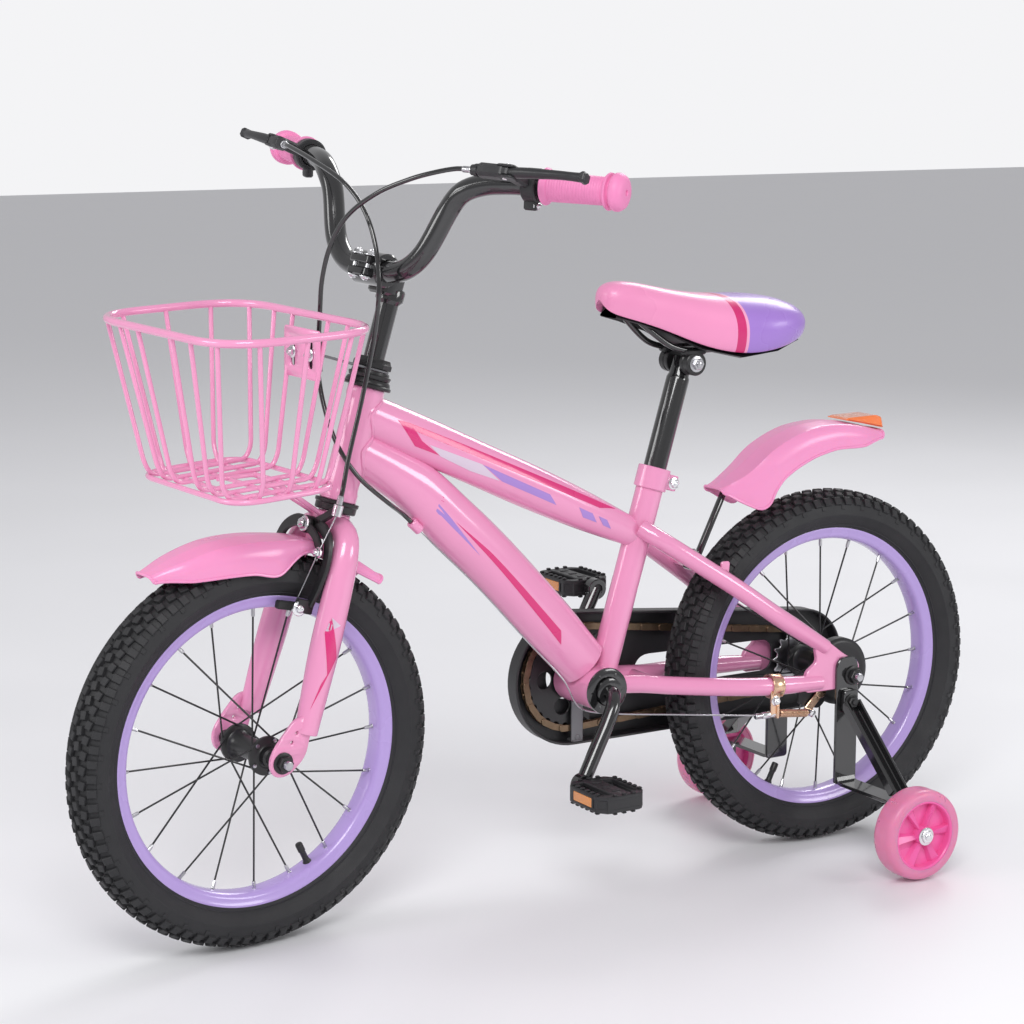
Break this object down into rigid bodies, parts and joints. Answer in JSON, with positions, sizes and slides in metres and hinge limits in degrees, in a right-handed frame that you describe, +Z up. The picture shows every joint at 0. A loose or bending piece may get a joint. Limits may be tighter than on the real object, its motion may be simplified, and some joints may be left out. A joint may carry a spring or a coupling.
{
  "type": "kids bmx bike",
  "caption": "Small-wheeled child's bicycle with a low swept frame, raised handlebar, hand brakes, front wire basket, mudguards, chain guard and side stabilisers.",
  "frame": {"origin": "on the ground, below the middle of the bicycle's outer box", "axes": "+X forwards, +Y to the rider's left, +Z up"},
  "size_m": [1.1147, 0.5405, 0.8099],
  "materials": {
    "pink_paint": "gloss",
    "purple_paint": "gloss",
    "black_paint": "satin",
    "grey_paint": "satin",
    "steel": "satin",
    "bright_steel": "polished",
    "copper_plate": "satin",
    "black_tyre": "matte",
    "pink_rubber": "matte",
    "black_rubber": "matte",
    "black_plastic": "matte",
    "pink_plastic": "gloss",
    "orange_reflector": "gloss",
    "saddle_cover": "satin"
  },
  "bodies": {
    "frame": {"band_brake_cover": "black_paint", "bb_cup_left": "black_paint", "bb_cup_right": "black_paint", "brake_anchor_clamp": "copper_plate", "chain": "steel", "chain_guard": "black_plastic", "frame": "pink_paint", "headset_lower_cup": "black_paint", "headset_upper_cup": "black_paint", "rear_axle": "steel", "rear_brake_cable_rear": "black_rubber", "rear_brake_spring": "bright_steel", "rear_mudguard": "pink_plastic", "rear_mudguard_stay": "black_paint", "rear_reflector": "orange_reflector", "seat_clamp": "pink_paint", "stabiliser_brace_left": "black_paint", "stabiliser_brace_right": "black_paint", "stabiliser_bracket_left": "black_paint", "stabiliser_bracket_right": "black_paint"},
    "steering": {"basket": "pink_paint", "basket_bracket": "grey_paint", "brake_lever_mount_left": "black_plastic", "brake_lever_mount_right": "black_plastic", "caliper_bolt": "bright_steel", "fork": "pink_paint", "front_axle": "steel", "front_brake_cable": "black_rubber", "front_mudguard": "pink_plastic", "grip_left": "pink_rubber", "grip_right": "pink_rubber", "handlebar": "black_paint", "headset_locknut": "black_paint", "headset_upper_race": "black_paint", "rear_brake_cable_front": "black_rubber", "stem": "black_paint"},
    "brake_lever_left": {"brake_lever_left": "black_plastic"},
    "brake_lever_right": {"brake_lever_right": "black_plastic"},
    "caliper_left": {"brake_pad_left": "black_rubber", "caliper_arm_left": "black_paint"},
    "caliper_right": {"brake_pad_right": "black_rubber", "caliper_arm_right": "black_paint"},
    "crank": {"chainring": "black_paint", "crank": "black_paint"},
    "front_wheel": {"front_hub": "black_paint", "front_rim": "purple_paint", "front_tyre": "black_tyre"},
    "pedal_left": {"pedal_left": "black_plastic"},
    "pedal_right": {"pedal_right": "black_plastic"},
    "rear_brake_arm": {"rear_brake_arm": "copper_plate"},
    "rear_wheel": {"rear_hub": "black_paint", "rear_rim": "purple_paint", "rear_sprocket": "steel", "rear_tyre": "black_tyre"},
    "saddle": {"saddle_base": "black_plastic", "saddle_clamp": "steel", "saddle_cushion": "saddle_cover"},
    "seatpost": {"seatpost": "black_paint"},
    "stabiliser_wheel_left": {"stabiliser_wheel_left": "pink_plastic"},
    "stabiliser_wheel_right": {"stabiliser_wheel_right": "pink_plastic"}
  },
  "joints": [
    {"name": "steering", "type": "hinge", "parent": "frame", "child": "steering", "pos_m": [0.2558, 0, 0.4423], "axis": [-0.2924, 0, 0.9563], "range_deg": [-66, 54], "deforming": ["rear_brake_cable_front"]},
    {"name": "front_wheel", "type": "hinge", "parent": "steering", "child": "front_wheel", "pos_m": [0.35537, 0.00262, 0.20196], "axis": [-0.1, 0.9945, -0.0306], "continuous": true},
    {"name": "rear_wheel", "type": "hinge", "parent": "frame", "child": "rear_wheel", "pos_m": [-0.3555, 0, 0.202], "axis": [0, 1, 0], "continuous": true},
    {"name": "crank", "type": "hinge", "parent": "frame", "child": "crank", "pos_m": [-0.0465, 0, 0.2173], "axis": [0, 1, 0], "continuous": true},
    {"name": "pedal_left", "type": "hinge", "parent": "crank", "child": "pedal_left", "pos_m": [0.00755, 0.072, 0.1308], "axis": [0, 1, 0], "continuous": true},
    {"name": "pedal_right", "type": "hinge", "parent": "crank", "child": "pedal_right", "pos_m": [-0.10055, -0.072, 0.3038], "axis": [0, 1, 0], "continuous": true},
    {"name": "stabiliser_wheel_left", "type": "hinge", "parent": "frame", "child": "stabiliser_wheel_left", "pos_m": [-0.3515, 0.187, 0.0515], "axis": [0, 1, 0], "continuous": true},
    {"name": "stabiliser_wheel_right", "type": "hinge", "parent": "frame", "child": "stabiliser_wheel_right", "pos_m": [-0.3515, -0.187, 0.0515], "axis": [0, 1, 0], "continuous": true},
    {"name": "seatpost", "type": "slide", "parent": "frame", "child": "seatpost", "axis": [-0.2907, 0, 0.9568], "range_m": [-0.07, 0.05]},
    {"name": "saddle_tilt", "type": "hinge", "parent": "seatpost", "child": "saddle", "pos_m": [-0.16441, 0, 0.56], "axis": [0, 1, 0], "range_deg": [-8, 8]},
    {"name": "brake_lever_left", "type": "hinge", "parent": "steering", "child": "brake_lever_left", "pos_m": [0.17028, 0.188, 0.7767], "axis": [-0.351, -0.1354, 0.9265], "range_deg": [0, 5], "stiffness_Nm_per_rad": 6, "springref_deg": -5.73},
    {"name": "brake_lever_right", "type": "hinge", "parent": "steering", "child": "brake_lever_right", "pos_m": [0.23651, -0.16833, 0.79695], "axis": [0.395, -0.1013, -0.9131], "range_deg": [0, 5], "stiffness_Nm_per_rad": 6, "springref_deg": -5.73},
    {"name": "caliper_left", "type": "hinge", "parent": "steering", "child": "caliper_left", "pos_m": [0.26369, 0, 0.41648], "axis": [-0.9511, -0.1045, -0.2908], "range_deg": [0, 1.5], "deforming": ["front_brake_cable"]},
    {"name": "caliper_right", "type": "hinge", "parent": "steering", "child": "caliper_right", "pos_m": [0.26369, 0, 0.41648], "axis": [0.9511, 0.1045, 0.2908], "range_deg": [0, 1.5]},
    {"name": "rear_brake_arm", "type": "hinge", "parent": "frame", "child": "rear_brake_arm", "pos_m": [-0.3255, 0.047, 0.183], "axis": [0, -1, 0], "range_deg": [0, 10], "deforming": ["rear_brake_spring"]}
  ],
  "couplings": [
    {"joint": "crank", "follows": "rear_wheel", "ratio": 0.57143},
    {"joint": "caliper_left", "follows": "brake_lever_right", "ratio": 0.29},
    {"joint": "caliper_right", "follows": "brake_lever_right", "ratio": 0.29},
    {"joint": "rear_brake_arm", "follows": "brake_lever_left", "ratio": 2}
  ]
}
